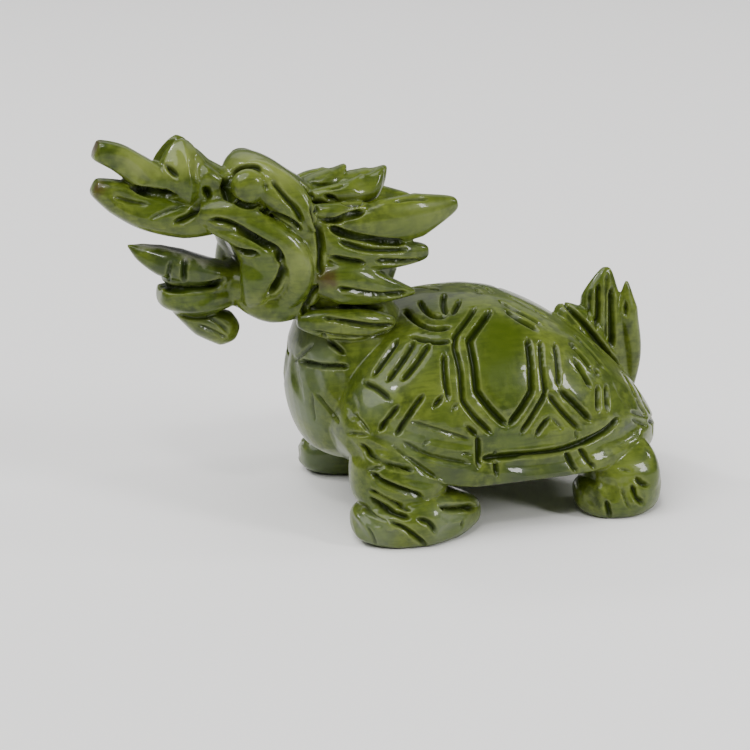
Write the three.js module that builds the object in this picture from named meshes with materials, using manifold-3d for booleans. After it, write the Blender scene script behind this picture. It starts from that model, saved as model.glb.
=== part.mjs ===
// A dragon turtle carved from one block of green serpentine: a turtle on four short legs, with a
// dragon's head held high, a flowing mane, and a tail of flames laid up the back of its shell.
// Millimetres, +Z up. The figure looks along -Y and stands on its soles.
import * as THREE from "three";
import { mergeVertices } from "three/addons/utils/BufferGeometryUtils.js";
import Module from "manifold-3d";

const wasm = await Module();
wasm.setup();

// Driving dimensions, in millimetres
const shellFront = 38.7; // front corners of the shell ahead of its middle
const shellRear = 30.6; // rear rim behind its middle
const shellWidth = 50; // over the rim
const shellTop = 41; // apex above the ground
const rimHeight = 12.5; // middle of the rim band above the ground
const rimRise = 7.8; // how far the rim rises over the front legs
const rimProud = 1; // how far the rim band stands out from the shell
const bellyHeight = 7; // underside above the ground
const platePitch = 17; // from one upright border between the side plates to the next
const plateStart = 16.3; // the foremost of these borders ahead of the middle of the shell
const grooveWidth = 1.8; // of the grooves between the plates
const grooveDepth = 1;
const stanceWidth = 38; // between the middles of the left and right feet
const frontFootAt = 24.5; // front feet ahead of the middle of the shell
const frontFootLength = 25; // heel to toes
const rightFootBack = 2; // how far the right front foot stands behind the left one
const hindFootAt = 16.5; // hind feet behind the middle of the shell
const hindFootLength = 15.5;
const footHeight = 10; // sole to instep
const chestReach = 43.6; // chest ahead of the middle of the shell
const neckWidth = 27; // across the chest
const headLength = 37; // mane root to the tip of the snout
const headReach = 42; // mane root ahead of the middle of the shell
const headRise = 11; // mane root above the top of the shell
const tailRise = 43; // tip of the tall tail flame above the ground

const SIDEWAYS = new THREE.Vector3(1, 0, 0);
const LENGTHWAYS = new THREE.Vector3(0, 1, 0);

// The value of a list of stations at share t of its length, taken straight between them.
function between(stations, t) {
  const place = t * (stations.length - 1);
  const i = Math.min(Math.floor(place), stations.length - 2);
  return THREE.MathUtils.lerp(stations[i], stations[i + 1], place - i);
}

// Rounds a circle's sine or cosine towards a square: 2 stays round, more is squarer.
function squared(value, power) {
  return Math.sign(value) * Math.abs(value) ** (2 / power);
}

// Turns a closed geometry into a solid for joining and cutting.
function solidOf(geometry) {
  const bare = geometry.clone();
  bare.deleteAttribute("normal");
  bare.deleteAttribute("uv");
  const merged = mergeVertices(bare, 1e-4);
  const vertProperties = merged.attributes.position.array;
  const triVerts = new Uint32Array(merged.index.array);
  return new wasm.Manifold(new wasm.Mesh({ numProp: 3, vertProperties, triVerts }));
}

// Moves every vertex of a unit ball to the place that shape gives for its share t along the ball's
// axis, its ring's radius from 0 to 1, and the cosine and sine of its angle round the ring.
function moulded(sides, rings, shape) {
  const ball = new THREE.SphereGeometry(1, sides, rings);
  const spot = ball.attributes.position;
  for (let i = 0; i < spot.count; i++) {
    const height = THREE.MathUtils.clamp(spot.getY(i), -1, 1);
    const ring = Math.sqrt(1 - height * height);
    const angle = Math.atan2(-spot.getZ(i), spot.getX(i));
    const onAxis = ring < 1e-6;
    const at = shape((1 - height) / 2, onAxis ? 0 : ring, Math.cos(angle), Math.sin(angle));
    spot.setXYZ(i, at.x, at.y, at.z);
  }
  return solidOf(ball);
}

// A body along a smooth line. wide and high are its half width and half height at even stations,
// the width lying as near to the direction aside as the line allows. blunt rounds its ends (1 is an
// egg, less is blunter) and square its section.
function stroke({ line, wide, high, sides = 8, rings = 7, blunt = 0.6, square = 2.3, aside = SIDEWAYS }) {
  const points = line.map((place) => new THREE.Vector3(...place));
  const curve = new THREE.CatmullRomCurve3(points, false, "centripetal");
  return moulded(sides, rings, (t, ring, cos, sin) => {
    const along = curve.getTangent(t);
    const across = aside.clone().projectOnPlane(along).normalize();
    const over = new THREE.Vector3().crossVectors(across, along);
    const swell = ring ** blunt;
    return curve
      .getPoint(t)
      .addScaledVector(across, squared(cos, square) * swell * between(wide, t))
      .addScaledVector(over, squared(sin, square) * swell * between(high, t));
  });
}

// A stroke and its mirror image on the other side of the figure.
function bothSides(form) {
  const far = form.line.map(([x, y, z]) => [-x, y, z]);
  return [stroke(form), stroke({ ...form, line: far })];
}

// Where share s of the shell's length (-1 front, 0 middle, 1 rear) meets angle phi round its section
// (0 the left rim, a quarter turn the top).
function shellPoint(s, phi) {
  const apex = -0.17;
  const ahead = s < apex;
  const away = (s - apex) / ((ahead ? -1 : 1) - apex);
  const plan = s < 0 ? 5 : 2.3; // square shoulders in front, round behind
  const halfWidth = (shellWidth / 2) * (1 - Math.abs(s) ** plan) ** (1 / plan);
  const rim = rimHeight + rimRise * (Math.max(0, -s - 0.35) / 0.65) ** 1.5 + Math.max(0, s - 0.5) * 1.5;
  const frontSlope = (1 - 0.42 * away ** 2.7) * (1 - away ** 12) ** 0.3;
  const slope = ahead ? frontSlope : (1 - away ** 1.6) ** 0.76;
  const upper = Math.sin(phi) >= 0;
  const over = Math.max(0, rimHeight + (shellTop - rimHeight) * slope - rim);
  const under = (rim - bellyHeight) * (1 - s ** 4) ** 0.5;
  const z = rim + squared(Math.sin(phi), upper ? 2.4 : 3.2) * (upper ? over : under);
  const band = rimProud * Math.exp(-(((z - rim) / 2.6) ** 4)) * (1 - s ** 8);
  const x = squared(Math.cos(phi), upper ? 2.6 : 3.2) * (halfWidth + band);
  return new THREE.Vector3(x, s * (s < 0 ? shellFront : shellRear), z);
}

function shell() {
  return moulded(28, 15, (t, ring, cos, sin) => {
    return shellPoint(THREE.MathUtils.clamp(2 * t - 1, -1, 1), Math.atan2(sin, cos));
  });
}

// A groove along the shell between two places, each given as millimetres behind the shell's middle
// and degrees round its section. It is cut on both sides.
const grooveForm = { sides: 4, rings: 4, blunt: 0.35, square: 2, aside: LENGTHWAYS };
function shellGroove([y0, turn0], [y1, turn1]) {
  const steps = 3;
  const line = Array.from({ length: steps + 1 }, (_, i) => {
    const y = THREE.MathUtils.lerp(y0, y1, i / steps);
    const turn = THREE.MathUtils.lerp(turn0, turn1, i / steps);
    return shellPoint(y / (y < 0 ? shellFront : shellRear), THREE.MathUtils.degToRad(turn)).toArray();
  });
  const half = grooveWidth / 2;
  return bothSides({ line, wide: [half, half], high: [grooveDepth, grooveDepth], ...grooveForm });
}

// The borders of the shell's plates: upright borders between the side plates, which fork above and
// below, round hexagonal plates. The last border, near the tail, only forks below.
function plateBorders() {
  const [foot, low, high, top] = [10, 26, 55, 82]; // degrees round the section
  const reach = platePitch * 0.45; // of a fork along the shell
  const grooves = [];
  for (const step of [0, 1, 1.72]) {
    const y = step * platePitch - plateStart;
    grooves.push(...shellGroove([y, low], [y, high]));
    for (const way of [-1, 1]) {
      grooves.push(...shellGroove([y, low], [y + way * reach * 0.85, foot]));
      if (step <= 1) grooves.push(...shellGroove([y, high], [y + way * reach, top]));
    }
  }
  return grooves;
}

// The head's own measure: its forms are given in 37ths of its length, forward of the mane's root,
// sideways and up.
const unit = headLength / 37;
const rootHeight = shellTop + headRise;
function headForm({ line, wide, high, ...rest }) {
  const place = ([forward, side, up]) => [side * unit, -headReach - forward * unit, rootHeight + up * unit];
  const scaled = (halves) => halves.map((half) => half * unit);
  return { line: line.map(place), wide: scaled(wide), high: scaled(high), ...rest };
}

const middleForms = [
  // skull, from the corners of the jaw up to the brow
  {
    line: [[4.5, 0, -10.5], [4, 0, 0], [5.6, 0, 8], [8, 0, 14.6]],
    wide: [6, 9.4, 9.4, 7.6, 4.6],
    high: [5, 7.6, 8.4, 7, 4],
    sides: 10,
  },
  // forehead
  {
    line: [[12.6, 0, 14.6], [8.8, 0, 16.4], [2, 0, 14], [-4, 0, 9.6]],
    wide: [2.8, 4.2, 5.4, 6],
    high: [1.6, 2.5, 2.7, 2.4],
  },
  // muzzle, and the pad between the nostrils
  {
    line: [[3, 0, 9], [14, 0, 10], [22.5, 0, 9.8]],
    wide: [9, 8, 6.8, 5.6],
    high: [6.2, 6, 5.4, 4.6],
    sides: 10,
  },
  {
    line: [[24.4, 0, 15.4], [20.8, 0, 18.4], [16.6, 0, 16.6], [11, 0, 13.6]],
    wide: [2.6, 3.4, 3.8, 3.4],
    high: [2.4, 3.4, 2.4, 2],
  },
  // the two lips of the forked snout, cut off square at the tip
  {
    line: [[20, 0, 13], [25.6, 0, 14.6], [29.2, 0, 16.9], [32.2, 0, 19], [36.3, 0, 20.7]],
    wide: [5.2, 4.6, 3.8, 3.1, 2.8],
    high: [3, 2.9, 2.7, 2.6, 2.2],
    blunt: 0.25,
    square: 2.6,
  },
  {
    line: [[14, 0, 7.4], [21, 0, 7.7], [28, 0, 9.5], [33, 0, 12.1], [36.8, 0, 14.1]],
    wide: [7, 6.6, 5.2, 4, 2.8],
    high: [3.4, 3.9, 3.6, 3.1, 1.9],
    blunt: 0.28,
    square: 2.5,
  },
  // throat between the cheeks
  {
    line: [[14.6, 0, -4.6], [9, 0, -6], [3, 0, -7.5]],
    wide: [6.4, 7.6, 7.6],
    high: [4.2, 4.8, 4.8],
    sides: 6,
    rings: 6,
  },
  // lower jaw, running out to a pointed, turned-up lip
  {
    line: [[11, 0, -3.4], [18, 0, -2.6], [24, 0, -1.6], [28, 0, 0.2], [31.2, 0, 3.2]],
    wide: [6.6, 6.4, 5.8, 3.8, 0.4],
    high: [3, 2.7, 2.6, 2, 0.3],
    blunt: 0.45,
    square: 2.8,
  },
  // chin, and the beard under it
  {
    line: [[11, 0, -7.2], [19, 0, -7.6], [26.2, 0, -6.6]],
    wide: [5.4, 5.8, 5.2],
    high: [3, 3.2, 2.9],
    blunt: 0.45,
  },
  {
    line: [[22.8, 0, -9.4], [18, 0, -12], [11.2, 0, -14.2]],
    wide: [3, 4, 3.4, 2.2],
    high: [1, 2.9, 3.1, 2.2],
  },
];

const pairedForms = [
  // nostril wings
  {
    line: [[21.4, 2.4, 19.4], [21.4, 5, 16], [20.8, 6.2, 11.4]],
    wide: [1.7, 2, 1.8],
    high: [1.6, 2.5, 2],
    sides: 6,
    rings: 6,
  },
  {
    line: [[20.6, 3, 18.4], [17.2, 4.2, 16], [13.4, 5, 13.6]],
    wide: [1.6, 2.1, 1.6],
    high: [1.5, 1.9, 1.4],
    sides: 6,
    rings: 6,
  },
  // brows, sweeping over the eyes and down behind them
  {
    line: [[11.6, 3.6, 14.6], [8.6, 5, 16.6], [5.4, 7, 15.8], [2.6, 9, 13], [0.4, 10.6, 8.6],
      [-1, 10.8, 5.2]],
    wide: [1.9, 2.5, 2.5, 2.3, 2.1, 1.4],
    high: [1.4, 2, 2, 2, 1.9, 1.2],
  },
  // eyes
  {
    line: [[10.5, 4.6, 13.8], [10.5, 9.6, 13.8]],
    wide: [3.3, 3.3],
    high: [3.3, 3.3],
    sides: 10,
    rings: 6,
    square: 2,
    aside: LENGTHWAYS,
  },
  // the flesh that tapers back behind each eye
  {
    line: [[8.8, 7.6, 13.4], [4.2, 9.2, 10.8], [0.8, 10.6, 6.4]],
    wide: [1.6, 1.7, 1],
    high: [2.8, 2.6, 0.8],
    sides: 6,
    rings: 6,
  },
  // cheek bands, from the lip back under the eye and round the corner of the jaw
  {
    line: [[19.5, 5, 9.6], [12.3, 7.8, 8], [6.8, 9.4, 5.2], [2.6, 10, 0.8], [2.2, 9.4, -5],
      [6.8, 6.4, -10.2]],
    wide: [1.6, 2.2, 2.6, 2.8, 2.8, 2.2],
    high: [1.6, 2.3, 2.7, 2.8, 2.8, 2],
    rings: 8,
  },
  // rolled lips at the corners of the mouth
  {
    line: [[18, 6.4, 5.9], [12.6, 8.6, 4.2], [8.6, 10, 1.8], [7, 10, -2]],
    wide: [1.4, 1.8, 1.9, 1.2],
    high: [1.4, 1.6, 1.7, 1.1],
    sides: 6,
  },
  // jaw muscles
  {
    line: [[12.2, 6.8, 1.4], [9.8, 8.6, -3], [10.6, 6.6, -8.6]],
    wide: [2.2, 2.8, 2.2],
    high: [2.6, 3.4, 2.6],
    sides: 6,
    rings: 6,
  },
];

// Each lock of the mane: its root, a place or two along it, its tip, and its half height at even
// stations. The crest's locks stand on the middle of the head, the others overlap on both sides.
const crest = [
  { line: [[3, 0, 11], [-4, 0, 12.2], [-11, 0, 13.4]], high: [1.8, 2, 2, 1.5] },
  { line: [[-1, 0, 8.6], [-10, 0.4, 9.8], [-18.4, 0.8, 12.8]], high: [2.6, 3, 2.8, 1.1] },
];
const locks = [
  { line: [[-1, 5.4, 9.8], [-7, 5.6, 10.4], [-14.6, 3.4, 11]], high: [1.8, 2.4, 2.2, 1] },
  { line: [[-1.6, 8.6, 9], [-7, 9, 8.8], [-13.4, 8, 9]], high: [1.4, 2.1, 1.4] },
  { line: [[-2.2, 8.8, 6], [-10, 9, 5.4], [-19, 8.4, 5.4], [-30, 7, 6.8]], high: [1.2, 3.2, 4.9, 4.6, 2.3] },
  { line: [[-2.2, 9.2, 1.8], [-12, 9.6, 0.6], [-23.6, 8.2, 0.6]], high: [1.4, 2, 2, 1.3] },
  { line: [[-2.2, 9.4, -1], [-12, 9.8, -2], [-22.4, 8, -2.5]], high: [1.5, 2, 1.8, 1] },
  { line: [[-1.6, 9.4, -3.8], [-8, 10, -4.6], [-20.8, 8.8, -8.4]], high: [1.9, 2.9, 2.6, 0.7] },
  { line: [[-0.8, 9.2, -7.2], [-8, 10, -8.6], [-18, 9.2, -9.4]], high: [1.4, 1.8, 1.7, 0.9] },
  { line: [[1.2, 8.6, -10], [-6, 9.8, -11.2], [-16, 9.4, -12.4]], high: [1.4, 1.7, 1.6, 0.9] },
  { line: [[3, 7.6, -12.2], [-5, 9.4, -13.4], [-15.8, 9.4, -14.5]], high: [1.3, 1.8, 1.6, 0.9] },
];

function dragonHead() {
  const middle = middleForms.map((form) => stroke(headForm(form)));
  return [...middle, ...pairedForms.flatMap((form) => bothSides(headForm(form)))];
}

function mane() {
  const core = headForm({
    line: [[3, 0, -1.4], [-6, 0, -1.4], [-13, 0, 0], [-20, 0, 2.8]],
    wide: [9, 9.4, 8.4, 4.8],
    high: [12.6, 12.4, 9.8, 4.6],
    sides: 10,
    rings: 6,
  });
  const leaf = ({ line, high, wide = high.map((half) => 1.5 + half * 0.4) }) => {
    return headForm({ line, high, wide, sides: 6, rings: 5, blunt: 0.5, square: 2 });
  };
  const middle = crest.map((lock) => stroke(leaf({ ...lock, wide: [4.4, 4, 3, 1.4] })));
  return [stroke(core), ...middle, ...locks.flatMap((lock) => bothSides(leaf(lock)))];
}

// Chest and neck, from between the front legs up into the mane.
function neck() {
  const half = neckWidth / 2;
  const depth = 12.2; // half the neck's depth from chest to nape
  return stroke({
    line: [
      [0, depth * 1.4 - chestReach, rimHeight],
      [0, depth * 1.06 - chestReach, shellTop * 0.5],
      [0, depth * 1.03 - chestReach, shellTop * 0.75],
      [0, depth - chestReach, rootHeight - 8 * unit],
    ],
    wide: [half * 0.86, half, half, half * 0.92, half * 0.75],
    high: [depth * 0.62, depth * 0.95, depth, depth * 0.98, depth * 0.82],
    sides: 10,
    blunt: 0.4,
  });
}

// A foot as a blunt pad from heel to toes. x and y are its middle, and side is 1 on the left and -1
// on the right, where it turns out.
function foot(x, y, length, side, wide) {
  const pad = footHeight * 0.56; // half height, a little of it sunk so that the sole is cut flat
  return stroke({
    line: [
      [x - side * 1, y + (length / 2) * (y < 0 ? 1 : -1), footHeight * 0.33],
      [x + side * 1.2, y, footHeight * 0.42],
      [x + side * 0.6, y - (length / 2) * (y < 0 ? 1 : -1), footHeight * 0.38],
    ],
    wide,
    high: [pad * 0.64, pad * 0.9, pad, pad * 0.97, pad * 0.76],
    rings: 6,
    blunt: 0.42,
    square: 2.5,
  });
}

function frontLeg(side) {
  const x = (side * stanceWidth) / 2;
  const y = (side < 0 ? rightFootBack : 0) - frontFootAt;
  const shank = stroke({
    line: [
      [x * 0.84, y - 2, rimHeight + 8],
      [x * 0.98, y - 3, rimHeight],
      [x, y - 2.4, footHeight * 0.4],
    ],
    wide: [6.6, 7.4, 7.2, 6.4],
    high: [8, 9.6, 9.4, 7.4],
    rings: 6,
    blunt: 0.45,
  });
  return [foot(x, y, frontFootLength, side, [4.6, 6.6, 7.8, 7.4, 6]), shank];
}

function hindLeg(side) {
  const x = (side * stanceWidth) / 2;
  const shank = stroke({
    line: [
      [x * 0.8, hindFootAt + 1, rimHeight + 3],
      [x * 0.95, hindFootAt + 1.4, footHeight * 0.4],
    ],
    wide: [6.4, 6.6, 6],
    high: [7, 7, 6.4],
    rings: 6,
    blunt: 0.45,
  });
  return [foot(x, hindFootAt, hindFootLength, side, [4.4, 6.4, 6.8, 6.2, 4.6]), shank];
}

// The tail: a root at the rear rim that fans up into three flames. Each flame is given as places
// ahead of the rear rim and in shares of the tail's rise above the rim.
function tail() {
  const rise = tailRise - rimHeight;
  const flame = ({ side, line, ...rest }) => {
    const root = [0, shellRear - 2.4, rimHeight + rise * 0.13];
    const places = line.map(([ahead, up]) => [side, shellRear - ahead, rimHeight + rise * up]);
    return stroke({ line: [root, ...places], ...rest });
  };
  const laid = flame({
    side: 0,
    line: [[9.2, 0.4], [14, 0.62], [18.2, 0.76]],
    wide: [3, 4.6, 4.8, 4.6, 3],
    high: [2.6, 3.4, 3.6, 3.6, 2.4],
    blunt: 0.5,
  });
  const tall = flame({
    side: 0.4,
    line: [[6.6, 0.48], [9.2, 0.74], [8.3, 1]],
    wide: [2.6, 3.2, 3.2, 2.6, 1],
    high: [1.8, 3, 4.2, 4.4, 1.2],
  });
  const short = flame({
    side: 1.8,
    line: [[3, 0.44], [3.7, 0.67], [4.4, 0.91]],
    wide: [1.8, 2.2, 2.4, 2.2, 0.8],
    high: [1.6, 2, 2.3, 2.4, 0.8],
  });
  return [laid, tall, short];
}

// Everything below the ground, which cuts the soles flat.
function underGround() {
  const size = 400;
  return solidOf(new THREE.BoxGeometry(size, size, size).translate(0, 0, -size / 2));
}

// The triangles that meet at each corner of a surface.
function fansOf(triangles, count) {
  const fans = Array.from({ length: count }, () => new Set());
  for (const triangle of triangles) triangle.forEach((corner) => fans[corner].add(triangle));
  return fans;
}

// A triangle's corners, turned so that the first two span its longest side, and its height over it.
function laidOn(triangle, points) {
  const sides = triangle.map((corner, i) => points[corner].distanceTo(points[triangle[(i + 1) % 3]]));
  const longest = Math.max(...sides);
  const start = sides.indexOf(longest);
  const corners = [0, 1, 2].map((i) => triangle[(start + i) % 3]);
  const area = new THREE.Triangle(...corners.map((corner) => points[corner])).getArea();
  return { corners, height: (2 * area) / longest };
}

// Whether a corner can be drawn onto its neighbour without folding or pinching the surface.
function canClose(corner, neighbour, fans, points, thin) {
  const near = new Set([...fans[neighbour]].flat());
  const shared = new Set([...fans[corner]].flat().filter((other) => near.has(other)));
  const normalOf = (triangle) => {
    const flat = new THREE.Triangle(...triangle.map((at) => points[at]));
    return flat.getNormal(new THREE.Vector3());
  };
  const upright = [...fans[corner]].every((triangle) => {
    if (triangle.includes(neighbour) || laidOn(triangle, points).height < thin) return true;
    const moved = triangle.map((at) => (at === corner ? neighbour : at));
    return normalOf(triangle).dot(normalOf(moved)) > 0.8;
  });
  return shared.size === 4 && upright;
}

// Rids a closed surface of slivers, the thin triangles left where two faces nearly meet. A sliver's
// short side is closed up, or else its long side is turned across the triangle next to it.
function withoutSlivers(points, triangles) {
  const thin = 0.015; // millimetres across
  const short = 0.15;
  const fans = fansOf(triangles, points.length);
  const settled = new Set(); // corners that this pass has already changed
  for (const triangle of triangles) {
    const { corners, height } = laidOn(triangle, points);
    if (height > thin || corners.some((corner) => settled.has(corner))) continue;
    const [a, b, tip] = corners;
    const end = points[tip].distanceTo(points[a]) < points[tip].distanceTo(points[b]) ? a : b;
    const beyond = [...fans[a]].find((other) => other !== triangle && other.includes(b));
    const far = beyond.find((corner) => corner !== a && corner !== b);
    const ring = [...fans[tip], ...fans[end], ...fans[far]].flat();
    if (ring.some((corner) => settled.has(corner))) continue;
    const joined = [...fans[far]].some((other) => other.includes(tip));
    const turned = [[tip, a, far], [far, b, tip]];
    if (points[tip].distanceTo(points[end]) < short && canClose(tip, end, fans, points, thin)) {
      for (const other of fans[tip]) other[other.indexOf(tip)] = end;
    } else if (!joined && turned.every((other) => laidOn(other, points).height > height)) {
      triangle.splice(0, 3, ...turned[0]);
      beyond.splice(0, 3, ...turned[1]);
    } else continue;
    ring.forEach((corner) => settled.add(corner));
  }
  return triangles.filter((triangle) => new Set(triangle).size === 3);
}

function geometryOf(solid) {
  const mesh = solid.getMesh();
  const position = new THREE.BufferAttribute(new Float32Array(mesh.vertProperties), 3);
  const corners = Array.from({ length: position.count }, (_, i) => i);
  const points = corners.map((i) => new THREE.Vector3().fromBufferAttribute(position, i));
  let triangles = Array.from({ length: mesh.triVerts.length / 3 }, (_, i) => {
    return Array.from(mesh.triVerts.slice(3 * i, 3 * i + 3));
  });
  const passes = 6;
  for (let pass = 0; pass < passes; pass++) triangles = withoutSlivers(points, triangles);
  return new THREE.BufferGeometry().setAttribute("position", position).setIndex(triangles.flat());
}

const legs = [1, -1].flatMap((side) => [...frontLeg(side), ...hindLeg(side)]);
const forms = [shell(), neck(), ...legs, ...dragonHead(), ...mane(), ...tail()];
const joined = forms.reduce((whole, form) => whole.add(form));
const carved = [underGround(), ...plateBorders()].reduce((whole, cut) => whole.subtract(cut), joined);

// The origin is on the ground, under the middle of the whole figure.
const geometry = geometryOf(carved);
geometry.computeBoundingBox();
const middle = geometry.boundingBox.getCenter(new THREE.Vector3());

const serpentine = new THREE.MeshStandardMaterial({ color: 0x5f7d1e, roughness: 0.22, metalness: 0 });
const turtle = new THREE.Mesh(geometry, serpentine);
turtle.name = "dragon_turtle";
turtle.position.set(-middle.x, -middle.y, 0);

const figure = new THREE.Group();
figure.add(turtle);
export default figure;
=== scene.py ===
import math

import bpy
import numpy as np
from mathutils import Matrix, Vector
from mathutils.bvhtree import BVHTree


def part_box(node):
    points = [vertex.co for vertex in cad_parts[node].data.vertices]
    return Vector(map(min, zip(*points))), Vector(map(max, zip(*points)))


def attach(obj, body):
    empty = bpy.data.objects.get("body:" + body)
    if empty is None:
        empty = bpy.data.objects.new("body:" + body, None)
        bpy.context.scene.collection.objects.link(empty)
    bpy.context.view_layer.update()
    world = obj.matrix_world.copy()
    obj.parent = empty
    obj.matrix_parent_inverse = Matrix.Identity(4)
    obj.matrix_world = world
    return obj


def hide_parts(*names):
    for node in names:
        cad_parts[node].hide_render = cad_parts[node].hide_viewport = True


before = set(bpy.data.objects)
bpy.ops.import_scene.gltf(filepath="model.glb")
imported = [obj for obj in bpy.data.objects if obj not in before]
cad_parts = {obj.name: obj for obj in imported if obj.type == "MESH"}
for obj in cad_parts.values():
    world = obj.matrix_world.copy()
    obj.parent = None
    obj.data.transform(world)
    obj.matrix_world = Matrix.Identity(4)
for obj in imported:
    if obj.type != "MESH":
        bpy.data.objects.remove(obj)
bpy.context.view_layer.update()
stoneNode = "dragon_turtle"
mm = 0.001  # the forms and tools below are in millimetres, from the middle of the shell's footprint

# the shell, which everything else is placed by
shellForm = {
    "front": 38.7,       # front corners, ahead of the middle
    "rear": 30.6,
    "width": 50,
    "top": 41,
    "rimHeight": 12.5,   # middle of the rim band above the ground
    "rimRise": 7.8,      # how far the rim rises over the front legs
    "rimProud": 1,
    "rimLip": 2.2,       # how far the rim's crisp lower edge is below its middle
    "rimReach": 2.6,     # half height of the rim band
    "riseFrom": 0.35,    # share of the front half where that rise starts
    "rearRise": 1.5,     # how fast the rim rises behind
    "rearFrom": 0.5,     # share of the rear half where it starts
    "belly": 7,          # underside above the ground
    "apex": -0.17,       # share of the length where the shell is highest
    "frontDrop": 0.42,   # share of the height that the crest loses towards the front
    "frontSlope": (2.7, 12, 0.3),  # how late the crest falls in front, and how its end is rounded off
    "rearSlope": (1.6, 0.76),
    "frontSquare": 5,    # squareness of the plan: square shoulders in front, round behind
    "rearSquare": 2.3,
    "topSquare": 2.4,    # squareness of the section over the top and at its sides
    "sideSquare": 2.6,
}
shellMiddle = Vector((0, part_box(stoneNode)[1].y / mm - shellForm["rear"], 0))
print("frame loaded, shell's middle at y =", round(shellMiddle.y, 1), "mm")

# camera, as the photograph was taken
photoView = {
    "distance": 400,   # from the middle of the shell's footprint
    "azimuth": 67,     # round from the head towards the left side, in degrees
    "elevation": 20.5,
    "turn": 70.73,     # of the camera about the vertical
    "tilt": 17.41,     # down
    "lens": 95.7,
    "sensor": 36,
    "pixels": 750,     # width and height of the photograph
}


def towards(azimuth, elevation):
    # one unit out from the stone, azimuth degrees round from its head and elevation degrees up
    around, above = math.radians(azimuth), math.radians(elevation)
    level = math.cos(above)
    return Vector((math.sin(around) * level, -math.cos(around) * level, math.sin(above)))


def cameraPlace():
    back = towards(photoView["azimuth"], photoView["elevation"])
    turned = Matrix.Rotation(math.radians(photoView["turn"]), 3, "Z")
    tilted = Matrix.Rotation(math.radians(90 - photoView["tilt"]), 3, "X")
    return back * photoView["distance"], turned @ tilted


def rayThrough(x, y):
    # from the camera through a pixel of the photograph
    half = photoView["pixels"] / 2
    focal = photoView["lens"] / photoView["sensor"] * photoView["pixels"]
    return (cameraPlace()[1] @ Vector((x - half, half - y, -focal))).normalized()


def placed(name, data):
    made = bpy.data.objects.new(name, data)
    bpy.context.scene.collection.objects.link(made)
    return made


def addCamera():
    place, facing = cameraPlace()
    data = bpy.data.cameras.new("photoCamera")
    data.lens, data.sensor_width = photoView["lens"], photoView["sensor"]
    data.clip_start, data.clip_end = 0.01, 20
    camera = placed("photoCamera", data)
    camera.location = (place + shellMiddle) * mm
    camera.rotation_euler = facing.to_euler()
    bpy.context.scene.camera = camera


addCamera()
print("camera placed")

# forms: every form is a ball drawn out along a line
formDetail = {"sides": 40, "rings": 48, "shellFiner": 3, "curveStep": 0.001}


def squared(value, power):
    # rounds a sine or cosine towards a square: 2 stays round, more is squarer
    return np.sign(value) * np.abs(value) ** (2 / power)


def curveAt(points, share):
    # a smooth centripetal curve through the points, each share from 0 to 1
    ends = np.vstack([2 * points[0] - points[1], points, 2 * points[-1] - points[-2]])
    place = np.clip(share, 0, 1) * (len(points) - 1)
    i = np.minimum(place.astype(int), len(points) - 2)
    p = [ends[i + k] for k in range(4)]
    gap = [np.maximum(np.linalg.norm(p[k + 1] - p[k], axis=1) ** 0.5, 1e-4)[:, None] for k in range(3)]
    into = ((p[1] - p[0]) / gap[0] - (p[2] - p[0]) / (gap[0] + gap[1]) + (p[2] - p[1]) / gap[1]) * gap[1]
    out = ((p[2] - p[1]) / gap[1] - (p[3] - p[1]) / (gap[1] + gap[2]) + (p[3] - p[2]) / gap[2]) * gap[1]
    w = (place - i)[:, None]
    cubic = 2 * (p[1] - p[2]) + into + out
    square = 3 * (p[2] - p[1]) - 2 * into - out
    return ((cubic * w + square) * w + into) * w + p[1]


def ballMesh(place, finer=1):
    # a unit ball whose points are put where place says; both poles are closed
    sides, rings = finer * formDetail["sides"], finer * formDetail["rings"]
    down = np.linspace(0, math.pi, rings + 1)[1:-1]
    turn = np.linspace(0, 2 * math.pi, sides, endpoint=False)
    share = np.concatenate([[0], np.repeat((1 - np.cos(down)) / 2, sides), [1]])
    ring = np.concatenate([[0], np.repeat(np.sin(down), sides), [0]])
    angle = np.concatenate([[0], np.tile(turn, rings - 1), [0]])
    points = place(share, ring, np.cos(angle), np.sin(angle))
    faces = []
    for row in range(rings - 2):
        for i in range(sides):
            a, b = 1 + row * sides + i, 1 + row * sides + (i + 1) % sides
            faces.append((a, b, b + sides, a + sides))
    last = len(points) - 1
    faces += [(0, 1 + (i + 1) % sides, 1 + i) for i in range(sides)]
    faces += [(last, last - sides + i, last - sides + (i + 1) % sides) for i in range(sides)]
    return points, faces


def strokeMesh(line, wide, high, blunt=0.6, square=2.3, aside=(1, 0, 0)):
    # wide and high are half sizes at even stations; blunt rounds the ends and square the section
    points, aside, step = np.array(line, float), np.array(aside, float), formDetail["curveStep"]

    def place(share, ring, cos, sin):
        along = curveAt(points, share + step) - curveAt(points, share - step)
        along /= np.linalg.norm(along, axis=1)[:, None]
        across = aside - along * (along @ aside)[:, None]
        across /= np.linalg.norm(across, axis=1)[:, None]
        over = np.cross(across, along)
        swell = ring**blunt
        halfWidth = np.interp(share, np.linspace(0, 1, len(wide)), wide)
        halfHeight = np.interp(share, np.linspace(0, 1, len(high)), high)
        across *= (squared(cos, square) * swell * halfWidth)[:, None]
        over *= (squared(sin, square) * swell * halfHeight)[:, None]
        return curveAt(points, share) + across + over

    return ballMesh(place)


def bothSides(form):
    far = dict(form, line=[(-x, y, z) for x, y, z in form["line"]])
    return [strokeMesh(**form), strokeMesh(**far)]


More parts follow.
